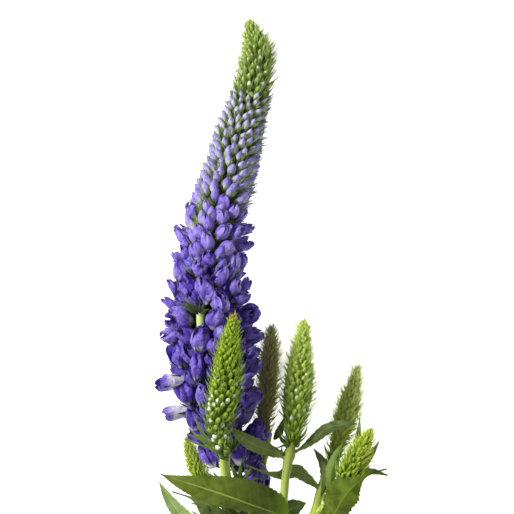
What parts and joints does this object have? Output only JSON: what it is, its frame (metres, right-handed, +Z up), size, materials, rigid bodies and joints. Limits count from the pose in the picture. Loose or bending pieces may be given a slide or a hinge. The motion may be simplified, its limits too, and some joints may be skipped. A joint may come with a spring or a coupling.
{
  "type": "speedwell flower spike",
  "caption": "Cut flowering stem of a garden speedwell, lying down: a tall blue-violet spike with shorter green side spikes and leaves.",
  "frame": {"origin": "middle of the part's outline on the surface that it lies on", "axes": "+Z up from the surface, +Y along the stem towards the tip of the tall spike, +X to the side of the middle and right side spikes"},
  "size_m": [0.0691, 0.1883, 0.0351],
  "materials": {
    "stem": "smooth pale green stalk skin with fine short hairs, softly shining",
    "violet_petals": "thin crumpled blue-violet petals, whitish at their foot, satin sheen",
    "lilac_buds": "closed lilac buds, greenish white below and violet at the tip",
    "green_buds": "dense green buds and hairy bracts, yellower at the tips, matt",
    "leaf": "toothed green leaf blade with a pale midrib and sunken veins, satin"
  },
  "bodies": {
    "root": {"branching_stem": "stem", "main_spike_blooms": "violet_petals", "main_spike_buds": "lilac_buds", "main_spike_tip": "green_buds", "side_spike_front": "green_buds", "side_spike_behind": "green_buds", "side_spike_middle": "green_buds", "side_spike_right_back": "green_buds", "side_spike_right_front": "green_buds", "side_spike_left": "green_buds", "leaf_front_large": "leaf", "leaf_left_narrow": "leaf", "leaf_left_under": "leaf", "leaf_middle_left": "leaf", "leaf_middle_right": "leaf", "leaf_crossing": "leaf", "leaf_right_folded": "leaf", "leaf_right_front": "leaf", "leaf_right_bluish": "leaf", "leaf_low_right": "leaf", "leaf_right_outer": "leaf", "leaf_right_upper": "leaf", "leaf_right_upright": "leaf", "leaf_left_pale": "leaf", "leaf_left_small": "leaf", "leaf_behind_small": "leaf"}
  },
  "joints": []
}
